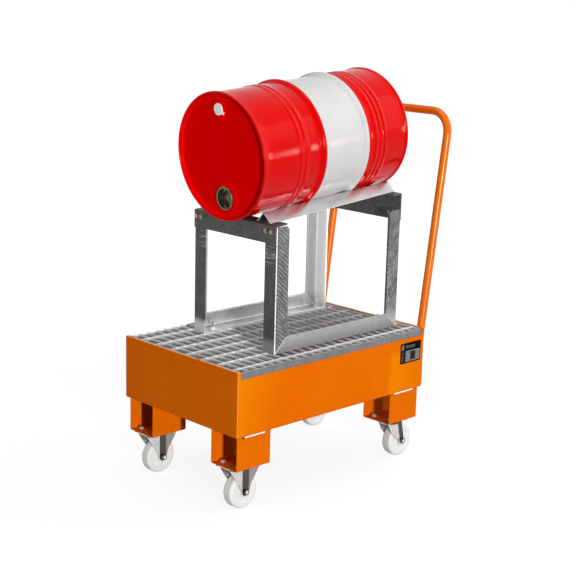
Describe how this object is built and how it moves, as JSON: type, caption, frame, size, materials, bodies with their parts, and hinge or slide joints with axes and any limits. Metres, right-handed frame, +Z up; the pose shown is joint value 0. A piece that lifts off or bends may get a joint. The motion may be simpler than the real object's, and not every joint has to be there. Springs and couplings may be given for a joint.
{
  "type": "mobile spill tray",
  "caption": "Wheeled steel spill tray with push handle, grating floor and a bolted stand that carries a lying drum over the sump.",
  "frame": {"origin": "on the floor under the middle of the whole trolley", "axes": "+X along the tray to the push handle, +Y to the right for someone pushing, +Z up"},
  "size_m": [0.9362, 0.5208, 1.2553],
  "materials": {
    "orange_paint": "orange powder coat",
    "label": "bare dark label plate",
    "zinc_plate": "zinc plated steel",
    "bearing_steel": "polished balls",
    "white_nylon": "white polyamide",
    "galvanised_steel": "galvanised steel",
    "yellow_zinc": "yellow zinc plated",
    "drum_paint": "gloss red enamel with a white band",
    "bung_zinc": "zinc plated fittings",
    "white_cap": "white plastic"
  },
  "bodies": {
    "tray": {"tray_pan": "orange_paint", "push_handle": "orange_paint", "handle_gussets": "orange_paint", "label_plate": "label", "foot_front_left": "orange_paint", "foot_front_right": "orange_paint", "foot_rear_left": "orange_paint", "foot_rear_right": "orange_paint", "fixed_fork_left": "zinc_plate", "fixed_fork_right": "zinc_plate", "swivel_plate_left": "zinc_plate", "swivel_plate_right": "zinc_plate", "king_pin_left": "zinc_plate", "king_pin_right": "zinc_plate", "fixed_axle_tubes": "zinc_plate", "fixed_axle_bolts": "zinc_plate", "fixed_axle_nuts": "zinc_plate", "caster_bolts": "zinc_plate", "caster_washers": "zinc_plate", "caster_nuts": "zinc_plate"},
    "swivel_left": {"swivel_fork_left": "zinc_plate", "swivel_balls_left": "bearing_steel", "swivel_axle_tube_left": "zinc_plate", "swivel_axle_bolt_left": "zinc_plate", "swivel_axle_nut_left": "zinc_plate"},
    "swivel_right": {"swivel_fork_right": "zinc_plate", "swivel_balls_right": "bearing_steel", "swivel_axle_tube_right": "zinc_plate", "swivel_axle_bolt_right": "zinc_plate", "swivel_axle_nut_right": "zinc_plate"},
    "wheel_front_left": {"wheel_front_left": "white_nylon"},
    "wheel_front_right": {"wheel_front_right": "white_nylon"},
    "wheel_rear_left": {"wheel_rear_left": "white_nylon"},
    "wheel_rear_right": {"wheel_rear_right": "white_nylon"},
    "deck": {"grating": "galvanised_steel", "post_front_left": "galvanised_steel", "post_front_right": "galvanised_steel", "post_rear_left": "galvanised_steel", "post_rear_right": "galvanised_steel", "base_rail_left": "galvanised_steel", "base_rail_right": "galvanised_steel", "saddle_ridge_left": "galvanised_steel", "saddle_ridge_right": "galvanised_steel", "cross_member_front": "galvanised_steel", "cross_member_rear": "galvanised_steel", "frame_bolts": "yellow_zinc", "frame_washers": "yellow_zinc", "frame_nuts": "yellow_zinc", "clamp_studs": "zinc_plate", "clamp_washers": "zinc_plate", "clamp_nuts": "zinc_plate", "clamp_plates": "zinc_plate"},
    "drum": {"drum_shell": "drum_paint", "drum_head_front": "drum_paint", "drum_head_rear": "drum_paint", "bung_rings": "bung_zinc"},
    "bung": {"bung_plug": "bung_zinc"},
    "vent": {"vent_cap": "white_cap"}
  },
  "joints": [
    {"name": "swivel_left_turn", "type": "hinge", "parent": "tray", "child": "swivel_left", "pos_m": [0.26394, -0.19275, 0.12], "axis": [0, 0, 1], "continuous": true},
    {"name": "swivel_right_turn", "type": "hinge", "parent": "tray", "child": "swivel_right", "pos_m": [0.26394, 0.19275, 0.12], "axis": [0, 0, 1], "continuous": true},
    {"name": "wheel_front_left_spin", "type": "hinge", "parent": "tray", "child": "wheel_front_left", "pos_m": [-0.39206, -0.19275, 0.0538], "axis": [0, 1, 0], "continuous": true},
    {"name": "wheel_rear_left_spin", "type": "hinge", "parent": "swivel_left", "child": "wheel_rear_left", "pos_m": [0.30294, -0.19275, 0.0538], "axis": [0, 1, 0], "continuous": true},
    {"name": "wheel_front_right_spin", "type": "hinge", "parent": "tray", "child": "wheel_front_right", "pos_m": [-0.39206, 0.19275, 0.0538], "axis": [0, 1, 0], "continuous": true},
    {"name": "wheel_rear_right_spin", "type": "hinge", "parent": "swivel_right", "child": "wheel_rear_right", "pos_m": [0.30294, 0.19275, 0.0538], "axis": [0, 1, 0], "continuous": true},
    {"name": "deck_lift", "type": "slide", "parent": "tray", "child": "deck", "axis": [0, 0, 1], "range_m": [0, 0.25]},
    {"name": "drum_lift", "type": "slide", "parent": "deck", "child": "drum", "axis": [0, 0, 1], "range_m": [0, 0.3]},
    {"name": "bung_turn", "type": "hinge", "parent": "drum", "child": "bung", "pos_m": [-0.2959, -0.00327, 0.88797], "axis": [-0.9964, 0, -0.0845], "range_deg": [0, 1800]},
    {"name": "vent_pull", "type": "slide", "parent": "drum", "child": "vent", "axis": [-0.9964, 0, -0.0845], "range_m": [0, 0.03]}
  ]
}
